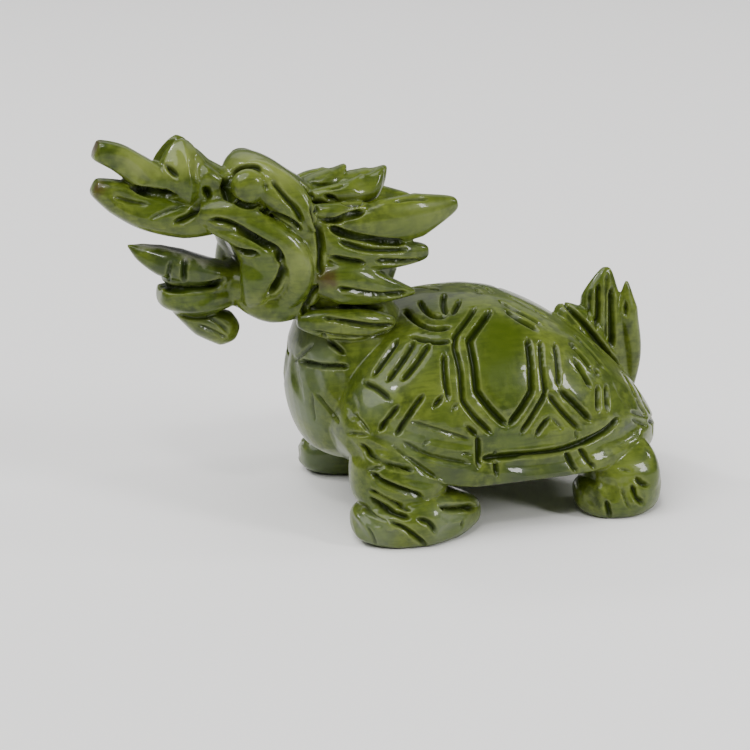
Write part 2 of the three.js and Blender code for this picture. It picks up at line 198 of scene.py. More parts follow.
def shellPoint(share, phi):
    # share runs from -1 at the front to 1 at the rear, phi round the section from the left rim
    f = shellForm
    ahead = share < f["apex"]
    away = np.where(ahead, (share - f["apex"]) / (-1 - f["apex"]), (share - f["apex"]) / (1 - f["apex"]))
    away = np.clip(away, 0, 1)
    plan = np.where(share < 0, f["frontSquare"], f["rearSquare"])
    halfWidth = f["width"] / 2 * (1 - np.abs(share) ** plan) ** (1 / plan)
    rise = np.maximum(0, -share - f["riseFrom"]) / (1 - f["riseFrom"])
    rim = f["rimHeight"] + f["rimRise"] * rise**1.5
    rim = rim + f["rearRise"] * np.maximum(0, share - f["rearFrom"])
    fall, end, rounding = f["frontSlope"]
    frontSlope = (1 - f["frontDrop"] * away**fall) * (1 - away**end) ** rounding
    fall, rounding = f["rearSlope"]
    slope = np.where(ahead, frontSlope, (1 - away**fall) ** rounding)
    upper = np.sin(phi) >= 0
    over = np.maximum(0, f["rimHeight"] + (f["top"] - f["rimHeight"]) * slope - rim)
    under = (rim - f["belly"]) * (1 - share**4) ** 0.5
    lift = np.where(upper, squared(np.sin(phi), f["topSquare"]) * over, np.sin(phi) * under)
    band = f["rimProud"] * np.exp(-((lift / f["rimReach"]) ** 4)) * (1 - share**8)
    lip = f["rimLip"] / np.maximum(under, 2.5 * f["rimLip"])
    tuck = np.clip((-np.sin(phi) - lip) / (1 - lip), 0, 1)  # of the belly, in from the rim
    below = np.sign(np.cos(phi)) * (1 - tuck**1.5) ** 0.7
    x = np.where(upper, squared(np.cos(phi), f["sideSquare"]), below) * (halfWidth + band)
    return np.stack([x, share * np.where(share < 0, f["front"], f["rear"]), rim + lift], axis=1)


def shellMesh():
    def place(share, ring, cos, sin):
        return shellPoint(np.clip(2 * share - 1, -1, 1), np.arctan2(sin, cos))

    return ballMesh(place, formDetail["shellFiner"])


# head and mane, in millimetres forward of the mane's root, sideways and up
headPlace = {"ahead": 42, "above": 11}  # of the mane's root, ahead of the shell's middle and above its top

skullForms = [
    # skull, from the corners of the jaw up to the brow
    dict(line=[(4.5, 0, -10.5), (4, 0, 0), (5.6, 0, 8), (8, 0, 14.6)],
         wide=[6, 9.4, 9.4, 7.6, 4.6], high=[5, 7.6, 8.4, 7, 4]),
    # forehead
    dict(line=[(13, 0, 14.4), (8.8, 0, 16), (2, 0, 12.2), (-4, 0, 9)],
         wide=[4, 6.8, 8, 7.4, 6.4], high=[1.8, 2.6, 3, 3, 2.4]),
    # muzzle, and the pad between the nostrils
    dict(line=[(3, 0, 9), (14, 0, 10), (22.5, 0, 9.8)],
         wide=[9, 8, 6.8, 5.6], high=[6.2, 6, 5.4, 4.6]),
    dict(line=[(24.4, 0, 15.4), (20.8, 0, 18), (16.6, 0, 15.8), (11, 0, 13.4)],
         wide=[2.6, 3.2, 3.6, 3.4], high=[2.2, 3, 2.2, 2]),
    # the two lips of the forked snout, cut off square at the tip
    dict(line=[(20, 0, 13), (25.6, 0, 14.6), (29.2, 0, 16.9), (32.2, 0, 19), (36.3, 0, 20.7)],
         wide=[5.2, 4.6, 3.8, 3.1, 2.6], high=[3, 2.9, 2.7, 2.5, 2.1], blunt=0.14, square=3.8),
    dict(line=[(14, 0, 7.4), (21, 0, 7.7), (28, 0, 9.5), (33, 0, 12.1), (36.8, 0, 14.1)],
         wide=[7, 6.6, 5.2, 4, 2.8], high=[3.4, 3.9, 3.6, 3.1, 1.9], blunt=0.16, square=2.8),
    # palate between the lips
    dict(line=[(21, -1, 13), (27, -1.4, 14.6), (32, -1.4, 16.6)],
         wide=[3, 2.6, 1.4], high=[2.4, 1.8, 0.9]),
    # throat between the cheeks
    dict(line=[(14.6, 0, -4.6), (9, 0, -6), (3, 0, -7.5)], wide=[6.4, 7.6, 7.6], high=[4.2, 4.8, 4.8]),
    # lower jaw, running out to a pointed, turned-up lip
    dict(line=[(11, 0, -4.2), (16, 0, -3), (21, 0, -1.7), (25.4, 0, -0.2), (28.8, 0, 1.5), (31.2, 0, 3)],
         wide=[6.4, 6.2, 5.4, 4.2, 2.4, 0.3], high=[2.4, 2.3, 2.8, 2.6, 1.7, 0.3],
         blunt=0.45, square=3),
    # chin, closed against the jaw, and the beard under it
    dict(line=[(12, 0, -5), (19, 0, -5), (25, 0, -4.6)],
         wide=[5.6, 5.4, 4.4], high=[1.8, 1.8, 1.6], blunt=0.4, square=3),
    dict(line=[(11, 0, -7.2), (19, 0, -7.5), (25.6, 0, -6.4)],
         wide=[5.4, 5.8, 5], high=[3, 3.3, 3.2], blunt=0.4),
    dict(line=[(23, 0, -9.6), (18, 0, -12.2), (13.4, 0, -14.2), (11, 0, -15.2)],
         wide=[3, 4, 3.4, 1.8], high=[1, 2.9, 3.4, 2.2], blunt=0.3),
]
cheekForms = [
    # flesh behind the cheeks and at the corners of the jaw
    dict(line=[(2.4, 8, 7.6), (0, 8.4, 0), (1.2, 7.6, -8.4)],
         wide=[2.2, 2.6, 2.4], high=[2.2, 2.6, 2.4], blunt=0.5),
    dict(line=[(12, 3.8, -7.4), (6, 5.6, -9.2), (-1, 7, -8.6)],
         wide=[3.6, 3.8, 3], high=[2.4, 3, 3], blunt=0.5),
    # cheeks and temples, which the bands below lie on
    dict(line=[(14.4, 4.8, 6.4), (9.6, 6.8, 3), (6.6, 7.4, -1.6), (8.4, 5.4, -7.4)],
         wide=[3.4, 4, 4.2, 3.6], high=[2.2, 4, 5, 3.6], blunt=0.5),
    dict(line=[(11, 6, 15), (6, 7.8, 12.4), (2.2, 8.8, 8.4), (0, 9, 3.6)],
         wide=[2.4, 3.2, 3.2, 2.2], high=[2, 3.2, 3, 2], blunt=0.5),
    dict(line=[(20, 4.4, 9), (13.4, 6.6, 8.6), (7, 8, 7)],
         wide=[2.8, 3.2, 3], high=[2.6, 3.4, 3.4], blunt=0.5),
    # nostril wings, and the flesh that they are cut from
    dict(line=[(25, 2.6, 14.6), (20.6, 3.2, 14), (15, 4.6, 12.4)],
         wide=[2.2, 2.4, 2.4], high=[2.4, 3.2, 2.4], blunt=0.5),
    dict(line=[(21, 1.3, 21.9), (21, 3.6, 17.6), (20.9, 4.4, 13.4), (20.6, 3.8, 10)],
         wide=[2, 3, 3, 1.8], high=[2.6, 4.3, 4.2, 2], square=1.1),
    dict(line=[(20.2, 3, 17.8), (17.2, 4.2, 15.4), (13.4, 5, 13.2)],
         wide=[1.6, 2.1, 1.6], high=[1.5, 1.9, 1.4]),
    # brows, sweeping over the eyes and down behind them
    dict(line=[(11.6, 3.6, 14.6), (8.6, 5, 16.4), (5.4, 7, 15), (2.6, 9, 12.6), (0.4, 10.6, 8.6),
               (-1, 10.8, 5.2)],
         wide=[1.9, 2.5, 2.5, 2.3, 2.1, 1.4], high=[1.4, 2, 2, 2, 1.9, 1.2]),
    # the flesh that tapers back behind each eye
    dict(line=[(8.8, 7.6, 13.4), (4.2, 9.2, 10.8), (0.8, 10.6, 6.4)],
         wide=[1.6, 1.7, 1], high=[2.8, 2.6, 0.8]),
    # cheek bands, from the lip back under the eye and round the corner of the jaw
    dict(line=[(19.5, 5, 9.6), (12.3, 7.8, 8), (6.8, 9.4, 5.2), (2.6, 10, 0.8), (2.2, 9.4, -5),
               (6.8, 6.4, -10.2)],
         wide=[1.6, 2.2, 2.6, 2.8, 2.8, 2.2], high=[1.6, 2.3, 2.7, 2.8, 2.8, 2]),
    # rolled lips at the corners of the mouth
    dict(line=[(18, 6.2, 6.6), (12.6, 8.6, 4.4), (8.6, 10, 1.8), (7, 10, -2)],
         wide=[1.2, 1.8, 1.9, 1.2], high=[1, 1.5, 1.7, 1.1]),
    # jaw muscles
    dict(line=[(10.6, 6.8, 2), (9.4, 8.6, -3), (10, 6.6, -8.6)],
         wide=[2.2, 2.8, 2.2], high=[2.4, 3.2, 2.6]),
]
farEyeDrop = 1.6  # the eye on the right side is carved lower and flatter
eyeForms = [
    dict(line=[(10.5, 5.6, 13.8), (10.5, 10.4, 13.8)],
         wide=[3.2, 3.2], high=[3.2, 3.2], square=2, aside=(0, 1, 0)),
    dict(line=[(10.2, -4, 13.8 - farEyeDrop), (10.2, -8.8, 13.8 - farEyeDrop)],
         wide=[2.8, 2.8], high=[2.8, 2.8], square=2, aside=(0, 1, 0)),
]
maneForms = [
    # the core that the locks grow from, and its lower end between the long locks
    dict(line=[(3, 0, -1.4), (-6, 0, -1.8), (-13, 0, -0.6), (-20, 0, 2.8)],
         wide=[9.8, 10.4, 9.6, 5.6], high=[12.4, 12.6, 10.4, 5], square=3),
    dict(line=[(-8, 0, -4.4), (-14, 0, -4.6), (-18, 0, -5.4)],
         wide=[8, 7.4, 5.6], high=[3.6, 3.4, 2.4], square=3),
]
furrowForms = [
    # flesh between the face and the mane, and under the long leaf
    dict(line=[(-0.6, 8.4, 10), (-1.6, 8.9, 4), (-1.2, 8.7, -4), (0, 8.4, -9)],
         wide=[1.6, 2, 2, 1.6], high=[2.4, 2.6, 2.6, 2.4]),
    dict(line=[(-3, 9.2, 4.4), (-9, 9.8, 2.8), (-17, 9, 2.4)],
         wide=[1.8, 2, 1.6], high=[1.6, 1.8, 1.4]),
]
# the line and half heights of each lock
crestLocks = [
    ([(3, 0, 9.6), (-4, 0, 11.2), (-8, 0, 12.6), (-10.4, 0, 15)], [1.6, 2.2, 2.2, 0.5]),
    ([(-1, 0, 9), (-10, 0.4, 10.6), (-15.4, 0.8, 12), (-18, 1, 14.4)], [2.6, 3, 2.6, 0.5]),
]
sideLocks = [
    # from the crown down to the jaw
    ([(-0.6, 9, 8.9), (-6, 9.6, 8.5), (-11.8, 8.8, 8.9)], [1.3, 1.6, 1]),
    ([(-2, 9, 6.4), (-7, 9.8, 0.9), (-15, 9.4, -0.2), (-23.6, 8.2, -0.7)], [1.8, 3, 3, 2.8, 2.2]),
    ([(-1, 9.4, -4), (-8, 10.2, -5), (-14, 9.8, -6.6), (-20.8, 8.8, -8)], [3.6, 4.3, 3.6, 2.4, 0.9]),
    ([(2, 8.8, -11.4), (-5, 10, -12.6), (-11, 10, -13), (-16.6, 9.4, -13.2)], [2.3, 2.9, 3, 2.6, 1.6]),
]
bigLocks = [  # the top lock and the long leaf behind each ear, shorter on the far side
    ([(-1, 5.4, 10.6), (-8, 6, 11), (-13, 5.4, 11.8), (-16, 4.6, 15)], [1.4, 2, 2.8, 0.5]),
    ([(-1, -5.4, 10.6), (-5, -6, 11), (-8.6, -5.4, 11.4), (-11, -4.6, 13.2)], [1.4, 2, 2.4, 0.5]),
    ([(-2, 9, 6.8), (-10, 9.4, 5.8), (-19, 9, 6.1), (-29.6, 7.4, 7.9)], [1, 2.7, 4.2, 4.4, 2.2]),
    ([(-2, -9, 6.2), (-10, -9.4, 5), (-18, -9, 4.8), (-26.4, -7.4, 5.6)], [1, 2.7, 4, 4.2, 2]),
]


def onHead(form):
    up = shellForm["top"] + headPlace["above"]
    line = [(side, -headPlace["ahead"] - forward, up + above) for forward, side, above in form["line"]]
    return dict(form, line=line)


def headMeshes():
    made = [strokeMesh(**onHead(form)) for form in skullForms + eyeForms]
    for form in cheekForms:
        made += bothSides(onHead(form))
    return made


def maneMeshes():
    def lock(line, high, wide=None):
        return onHead(dict(line=line, high=high, wide=wide or [1.6 + 0.25 * h for h in high], blunt=0.4))

    made = [strokeMesh(**onHead(form)) for form in maneForms]
    for form in furrowForms:
        made += bothSides(onHead(form))
    made += [strokeMesh(**lock(*form, wide=[4.4, 4, 3, 1.4])) for form in crestLocks]
    made += [strokeMesh(**lock(*form)) for form in bigLocks]
    for form in sideLocks:
        made += bothSides(lock(*form))
    return made


# neck, legs and tail
# the chest ahead of the shell's middle, across, and half of it front to back
neckForm = {"reach": 43.6, "width": 27, "depth": 12.2}
footForm = {
    "stance": 38,      # across, from the middle of a foot to the other's
    "height": 10,
    "frontAt": 24.5,   # ahead of the shell's middle
    "frontLength": 25,
    "rightBack": 2,    # how far the right front foot stands back
    "hindAt": 17,      # behind the shell's middle
    "hindLength": 17,
}
tailForm = {"rise": 43}  # tip of the tall flame above the ground


def neckMesh():
    half, depth, reach = neckForm["width"] / 2, neckForm["depth"], neckForm["reach"]
    top = shellForm["top"]
    line = [(0, depth * 1.4 - reach, shellForm["rimHeight"]), (0, depth * 1.06 - reach, top * 0.5),
            (0, depth * 1.03 - reach, top * 0.75), (0, depth - reach, top + headPlace["above"] - 8)]
    wide = [half * share for share in (0.86, 1, 1, 0.92, 0.75)]
    high = [depth * share for share in (0.62, 0.95, 1, 0.98, 0.82)]
    return strokeMesh(line, wide, high, blunt=0.4)


def footMesh(x, y, length, side, wide, toeOut):
    h = footForm["height"]
    heel = 1 if y < 0 else -1
    line = [(x - side, y + length / 2 * heel, h * 0.33), (x + side * 1.2, y, h * 0.42),
            (x + side * toeOut, y - length / 2 * heel, h * 0.38)]
    high = [h * 0.56 * share for share in (0.64, 0.9, 1, 0.97, 0.76)]
    return strokeMesh(line, wide, high, blunt=0.42, square=2.5)


def legMeshes(side):
    f = footForm
    x, h = side * f["stance"] / 2, f["height"]
    y = (f["rightBack"] if side < 0 else 0) - f["frontAt"]
    rim = shellForm["rimHeight"]
    front = strokeMesh([(x * 0.84, y - 2, rim + 8), (x * 0.98, y - 3, rim), (x, y - 2.4, h * 0.4)],
                       [6.6, 7.4, 7.2, 6.4], [8, 9.6, 9.4, 7.4], blunt=0.45)
    at = f["hindAt"]
    hind = strokeMesh([(x * 0.8, at + 0.4, rim), (x, at + 0.4, h * 0.7), (x, at, h * 0.36)],
                      [5.4, 6.8, 6.6], [6.6, 7.4, 7.2], blunt=0.3, square=3)
    return [front, footMesh(x, y, f["frontLength"], side, [4.6, 6.6, 7.8, 7.4, 6], 0.6),
            hind, footMesh(x, at, f["hindLength"], side, [5.2, 6.5, 6.6, 6, 4.4], -3.4)]


def tailMeshes():
    rear, low = shellForm["rear"], shellForm["rimHeight"]
    rise = tailForm["rise"] - low

    def flame(side, places, **form):
        root = (0, rear - 2.4, low + rise * 0.13)
        return strokeMesh([root] + [(side, rear - ahead, low + rise * up) for ahead, up in places], **form)

    return [
        flame(0, [(9.2, 0.4), (14, 0.62), (18.2, 0.76)],
              wide=[3, 4.6, 4.8, 4.6, 3], high=[2.6, 3.4, 3.6, 3.6, 2.4], blunt=0.5),
        flame(0.4, [(6.6, 0.48), (9.2, 0.74), (8.3, 1)],
              wide=[2.6, 3.2, 3.2, 2.6, 1.4], high=[1.8, 3, 4.2, 4.6, 2.2]),
        flame(1.8, [(3, 0.44), (4.1, 0.67), (4.5, 0.91)],
              wide=[1.8, 2.2, 2.4, 2.2, 0.8], high=[1.7, 2, 2.1, 2.3, 0.8]),
    ]


# the forms grown together into one stone
stoneBody = {
    "grain": 0.22,  # size of the grid that joins the forms
    "polish": 4,    # rounds of smoothing that soften every crease
    "soften": 2,    # rounds of smoothing after the gouges are cut
    "ridgeReach": 6,  # rounds of averaging that a ridge is measured against
    "triangles": 196000,
}


def objectOf(name, points, faces):
    mesh = bpy.data.meshes.new(name)
    mesh.from_pydata(points, [], faces)
    return placed(name, mesh)


def settled(made):
    # the object with its modifiers worked in
    graph = bpy.context.evaluated_depsgraph_get()
    mesh = bpy.data.meshes.new_from_object(made.evaluated_get(graph))
    old = made.data
    made.modifiers.clear()
    made.data = mesh
    bpy.data.meshes.remove(old)
    return made


def joinedStone():
    body = [shellMesh(), neckMesh(), *legMeshes(1), *legMeshes(-1)]
    forms = [*body, *headMeshes(), *maneMeshes(), *tailMeshes()]
    points, faces = [], []
    for formPoints, formFaces in forms:
        start = len(points)
        formPoints[:, 2] = np.maximum(formPoints[:, 2], 0)  # the soles are ground flat
        points += formPoints.tolist()
        faces += [tuple(start + corner for corner in face) for face in formFaces]
    stone = objectOf("dragonTurtleStone", points, faces)
    join = stone.modifiers.new("join", "REMESH")
    join.mode, join.voxel_size, join.use_smooth_shade = "VOXEL", stoneBody["grain"], True
    smooth = stone.modifiers.new("polish", "SMOOTH")
    smooth.factor, smooth.iterations = 0.5, stoneBody["polish"]
    return settled(stone)


stone = joinedStone()
print("forms joined,", len(stone.data.polygons), "faces")

# gouges, each one pass of a cutting wheel
# paths are in pixels of the photograph, and run along the side of the figure that it shows
# a facet is one wide, shallow pass, and shade is how far the bottom of a cut is darkened with painted shade
gougeTools = {
    "facet": {"halfWidth": 1.9, "depth": 0.62, "roundness": 1.7, "taper": 5, "shade": 0},
    "deep": {"halfWidth": 1.05, "depth": 1.8, "roundness": 1.2, "taper": 2.4, "shade": 0.7},
    "broad": {"halfWidth": 0.88, "depth": 1.4, "roundness": 1.2, "taper": 1.8, "shade": 0.7},
    "plain": {"halfWidth": 0.72, "depth": 1.15, "roundness": 1.2, "taper": 1.6, "shade": 0.7},
    "slender": {"halfWidth": 0.5, "depth": 0.65, "roundness": 1.2, "taper": 1.6, "shade": 0.7},
}
gougeLaying = {
    "step": 0.25,      # between the points of a laid gouge
    "break": 1.6,      # a wider jump means that the path has left the surface
    "shortest": 7,     # points, once a pixel, below which a piece of a broken path is left out
    "turnedPoints": 60,  # on a gouge that the camera doesn't place
    "ironing": 3,      # rounds that take out the creases that a path crosses
}

# a point given twice is a sharp corner
eyeGouges = {
    "deep": {
        "front": [(231, 174), (226, 184), (227, 195), (233, 203)],
    },
    "plain": {
        "ring": [(263, 173), (255, 167), (245, 167), (236, 172), (231, 181), (231, 192), (236, 201),
                 (246, 206), (258, 205)],
    },
    "slender": {
        "nick": [(264, 182), (268, 190)],
    },
}
headGouges = {
    "facet": {
        "upperLip": [(106, 158), (120, 166), (137, 178), (150, 183)],
        "lowerLip": [(106, 190), (124, 200), (146, 208), (168, 208)],
        "nostrilFront": [(175, 148), (176, 164), (177, 182)],
        "nostrilRear": [(196, 153), (197, 168), (197, 184)],
        "chin": [(168, 300), (190, 303), (212, 298)],
    },
    "deep": {
        "snoutSplit": [(128, 187), (150, 192), (178, 196)],
        "hookBottom": [(282, 262), (283, 273), (277, 285), (266, 298)],
        "chin": [(158, 285), (175, 288), (202, 288), (215, 285), (226, 278)],
        "nostril": [(203, 186), (208, 193), (206, 200)],
    },
    "broad": {
        "hookTop": [(208, 220), (227, 223), (245, 232), (262, 242), (277, 251), (283, 266)],
        "cheek": [(230, 245), (245, 252), (261, 255)],
        "furrowBehindFace": [(311, 203), (318, 228), (321, 250), (320, 276)],
        "nostrilCrescent": [(200, 202), (193, 213), (185, 219), (172, 223)],
    },
    "plain": {
        "snoutComma": [(163, 163), (170, 169), (179, 178)],
        "browInner": [(271, 178), (285, 197), (295, 208), (303, 224)],
        "browOuter": [(299, 180), (312, 198), (317, 216)],
        "eyeFlesh": [(258, 209), (277, 215), (293, 223), (303, 232)],
        "jawRear": [(318, 283), (310, 298), (301, 316)],
        "jawFirst": [(186, 256), (184, 270), (184, 284)],
    },
    "slender": {
        "lipUnder": [(182, 205), (160, 214), (148, 220)],
        "beardTop": [(176, 315), (195, 318), (216, 315)],
        "beard": [(206, 315), (218, 322), (230, 334)],
        "beardLow": [(196, 324), (212, 331), (228, 339)],
        "jawSecond": [(172, 258), (169, 270), (168, 284)],
        "lipFold": [(150, 205), (130, 202), (112, 196)],
    },
}
maneGouges = {
    "facet": {
        "lower": [(335, 296), (360, 300), (390, 299)],
        "lowest": [(320, 326), (350, 330), (380, 330)],
        "crestTip": [(350, 186), (366, 183), (378, 175)],
    },
    "broad": {
        "top": [(323, 194), (336, 201), (350, 204), (365, 202)],
        "upper": [(320, 219), (333, 221), (345, 217), (366, 211)],
        "longLockStart": [(327, 257), (345, 261), (367, 264)],
        "middle": [(328, 226), (345, 234), (370, 240), (405, 242)],
        "jawLock": [(336, 307), (360, 308), (382, 307)],
    },
    "plain": {
        "longLock": [(338, 240), (357, 247), (375, 250), (408, 249)],
        "hollow": [(375, 261), (405, 262), (425, 261)],
        "lower": [(336, 288), (357, 292), (382, 295), (408, 293)],
        "lowest": [(322, 317), (345, 322), (370, 326), (394, 326)],
        "neckHigh": [(321, 334), (331, 343), (346, 355)],
        "neckSecond": [(299, 361), (322, 366), (350, 367)],
    },
    "slender": {
        "chest": [(315, 392), (326, 406), (340, 423)],
        "crest": [(326, 189), (338, 187), (348, 183)],
        "crestRoot": [(308, 182), (320, 185), (332, 184)],
        "leafUpper": [(392, 202), (410, 199), (430, 199)],
        "bottom": [(312, 331), (340, 336), (370, 337), (388, 332)],
        "neckFirst": [(294, 361), (314, 343)],
        "chestFront": [(312, 392), (312, 406), (315, 422)],
    },
}
shellGouges = {
    "facet": {
        "rimBand": [(505, 466), (535, 466), (565, 462), (600, 450), (625, 438), (642, 424)],
        "flareTop": [(376, 424), (405, 431), (440, 440), (474, 446)],
        "flareMiddle": [(372, 438), (400, 446), (435, 455), (474, 461)],
        "flareLow": [(362, 440), (385, 455), (415, 467), (450, 478), (480, 482)],
        "frontCorner": [(352, 392), (352, 408), (356, 424)],
        "rearCorner": [(612, 380), (625, 395), (636, 408)],
    },
    "broad": {
        "middlePlateLeft": [(491, 309), (482, 322), (469, 340), (469, 340), (474, 364), (477, 391),
                            (477, 391), (492, 411), (508, 427)],
        "middlePlateRight": [(528, 337), (531, 364), (532, 391), (532, 391), (522, 408), (508, 427)],
        "rearPlateFront": [(559, 389), (569, 398), (580, 409), (592, 422)],
        "rimUpper": [(481, 459), (510, 456), (535, 454), (556, 451), (574, 446), (591, 439), (607, 430),
                     (620, 417)],
    },
    "plain": {
        "besideLeft": [(476, 306), (466, 321), (455, 337), (455, 350), (455, 350), (460, 368), (463, 401),
                       (463, 401), (475, 417), (493, 435)],
        "besideLeftOuter": [(444, 352), (445, 375), (449, 402)],
        "besideLeftCorner": [(465, 425), (480, 438)],
        "besideLeftTop": [(460, 299), (452, 315)],
        "besideRight": [(541, 340), (542, 362), (546, 393), (546, 393), (533, 416), (520, 435)],
        "besideRightOuter": [(555, 342), (558, 364), (559, 388)],
        "besideRightCorner": [(551, 416), (542, 427), (535, 438)],
        "rearPlateSecond": [(548, 393), (560, 409), (570, 420), (581, 431)],
        "rearUpright": [(598, 384), (598, 414)],
        "rearUprightOuter": [(606, 383), (608, 413)],
        "rearPlateSide": [(573, 358), (584, 375), (592, 390)],
        "rearNick": [(593, 367), (601, 377)],
        "frontUpper": [(399, 338), (384, 360), (372, 377)],
        "frontUpperMiddle": [(415, 340), (400, 364), (386, 383)],
        "frontUpperOuter": [(430, 342), (416, 364), (401, 382)],
        "frontLower": [(400, 404), (388, 419), (378, 433)],
        "frontLowerOuter": [(425, 393), (412, 411), (395, 437)],
        "frontWedge": [(444, 394), (433, 409)],
        "frontLip": [(362, 382), (376, 388), (392, 401)],
        "topFront": [(404, 309), (412, 318), (424, 326), (436, 329), (452, 327)],
        "topFrontOuter": [(408, 336), (424, 340), (436, 342), (452, 341)],
        "topHollow": [(419, 300), (426, 311), (436, 317), (449, 315)],
        "topHollowSide": [(444, 293), (443, 304), (446, 315)],
        "rimTickFirst": [(478, 434), (479, 470)],
        "rimTickSecond": [(495, 450), (497, 478)],
        "rimTickThird": [(565, 451), (580, 478)],
        "rimTickFourth": [(578, 446), (599, 474)],
    },
    "slender": {
        "topFirst": [(475, 288), (482, 294)],
        "topSecond": [(486, 287), (494, 294)],
        "frontWedgeSmall": [(459, 402), (452, 412)],
        "frontCorner": [(352, 412), (361, 422), (370, 434)],
        "frontCornerLow": [(346, 433), (369, 435)],
        "rearCornerTick": [(576, 428), (577, 442)],
        "rearThin": [(551, 416), (563, 430)],
        "rimTickRear": [(630, 411), (648, 417)],
        "rimTickLast": [(631, 419), (648, 426)],
        "flareFirst": [(409, 421), (444, 432), (470, 440)],
        "flareSecond": [(401, 441), (424, 453), (472, 464)],
        "flareThird": [(392, 444), (415, 463), (438, 479)],
        "flareCross": [(421, 447), (431, 438)],
        "flareMark": [(460, 453), (473, 455)],
    },
}
limbGouges = {
    "facet": {
        "shoulder": [(349, 438), (354, 452), (366, 464)],
        "legUpper": [(372, 462), (392, 473), (415, 480), (438, 484)],
        "legMiddle": [(368, 479), (386, 490), (405, 499), (424, 503)],
        "legLow": [(362, 492), (378, 505), (396, 514), (414, 519)],
        "legFront": [(356, 505), (368, 519), (388, 530)],
        "toeFirst": [(352, 518), (360, 532), (372, 543)],
        "toeSecond": [(380, 528), (396, 538), (412, 545)],
        "heel": [(440, 516), (456, 517), (470, 513)],
        "heelLow": [(434, 536), (450, 531), (464, 524)],
        "hindFirst": [(590, 484), (592, 498), (598, 510)],
        "hindSecond": [(606, 478), (612, 490), (618, 504)],
        "hindThird": [(622, 478), (628, 492), (634, 503)],
        "chestFirst": [(293, 352), (295, 378), (304, 404)],
        "chestSecond": [(308, 352), (314, 378), (324, 404)],
        "chestThird": [(330, 356), (336, 380), (342, 402)],
    },
    "deep": {
        "legBack": [(438, 506), (448, 508), (462, 508), (477, 506)],
    },
    "broad": {
        "legTop": [(369, 472), (383, 482), (399, 489), (413, 494), (424, 499)],
        "shoulder": [(359, 443), (374, 457), (392, 466), (415, 471)],
        "tailFlameFirst": [(565, 302), (576, 315), (589, 330), (603, 347), (620, 366)],
        "tallFlameRear": [(612, 286), (612, 318), (612, 350)],
    },
    "plain": {
        "legFirst": [(368, 489), (388, 501), (412, 511)],
        "legSecond": [(369, 497), (388, 510), (411, 519)],
        "toeMiddle": [(388, 520), (409, 532), (426, 546)],
        "toeSide": [(416, 518), (430, 524), (437, 534)],
        "hindToe": [(631, 483), (636, 497), (645, 505)],
        "hindToeNotch": [(606, 499), (608, 510), (610, 518)],
        "hindToeUpper": [(635, 476), (640, 482), (650, 487)],
        "tailRidge": [(574, 334), (590, 351), (606, 370)],
        "tailRidgeLow": [(568, 342), (580, 354), (594, 372)],
        "tallFlame": [(598, 282), (598, 308), (596, 330)],
        "shortFlame": [(625, 300), (626, 318)],
    },
    "slender": {
        "tallFlameFront": [(590, 290), (589, 308), (590, 322)],
        "tallFlameMiddle": [(607, 272), (607, 308), (606, 340)],
        "tailSide": [(570, 343), (577, 348)],
        "legFourth": [(360, 503), (374, 515), (388, 522)],
        "legNotch": [(366, 471), (374, 469), (388, 465)],
        "heel": [(464, 517), (461, 530)],
        "toeFront": [(366, 524), (372, 536), (376, 545)],
        "hindToeMiddle": [(622, 486), (626, 500), (630, 510)],
        "hindLeg": [(618, 468), (632, 472)],
    },
}

# over the shell's top and behind, where the photograph's view only grazes the stone or ends
# each point is the share of the shell's length and the degrees up from its rim
turnedGouges = {
    "broad": {
        "plateTop": [(-0.1, 71), (-0.04, 63), (0.05, 57)],
    },
    "plain": {
        "plateTopOuter": [(-0.09, 79), (-0.03, 70), (0.1, 62)],
        "plateTopFar": [(0.01, 86), (0.07, 79), (0.19, 71)],
        "rim": [(0.8, 12), (0.9, 14), (0.97, 20)],
        "upright": [(0.67, 58), (0.69, 46), (0.7, 34)],
        "uprightOuter": [(0.76, 56), (0.78, 46), (0.78, 36)],
        "corner": [(0.7, 34), (0.74, 27), (0.8, 21)],
        "cornerOuter": [(0.78, 36), (0.82, 29), (0.86, 23)],
        "top": [(0.5, 64), (0.46, 76), (0.4, 84)],
        "topOuter": [(0.58, 66), (0.54, 76), (0.5, 84)],
    },
    "slender": {
        "tickFirst": [(0.84, -8), (0.85, 10)],
        "tickSecond": [(0.9, -8), (0.91, 10)],
    },
}


def roundedPath(pixels):
    # the path of a gouge, once a pixel
    points = np.array([(x, y, 0) for x, y in pixels], float)
    length = np.linalg.norm(np.diff(points, axis=0), axis=1).sum()
    return curveAt(points, np.linspace(0, 1, int(length) + 2))[:, :2]


def laidRuns(pixels, surface):
    # the runs of the path that lie on the stone, seen from the camera
    place, runs = cameraPlace()[0], [[]]
    for x, y in roundedPath(pixels):
        hit = surface.ray_cast(place, rayThrough(x, y))[0]
        if hit is None or (runs[-1] and (hit - runs[-1][-1]).length > gougeLaying["break"]):
            runs.append([])
        if hit is not None:
            runs[-1].append(hit)
    return [run for run in runs if len(run) > gougeLaying["shortest"]]


def turnedRuns(places, surface):
    points = np.array([(*place, 0) for place in places], float)
    way = curveAt(points, np.linspace(0, 1, gougeLaying["turnedPoints"]))
    laid = shellPoint(way[:, 0], np.radians(way[:, 1]))
    return [[surface.find_nearest(Vector(point))[0] for point in laid]]


def mirroredRun(run, surface, drop):
    return [surface.find_nearest(Vector((-p.x, p.y, p.z - drop)))[0] for p in run]


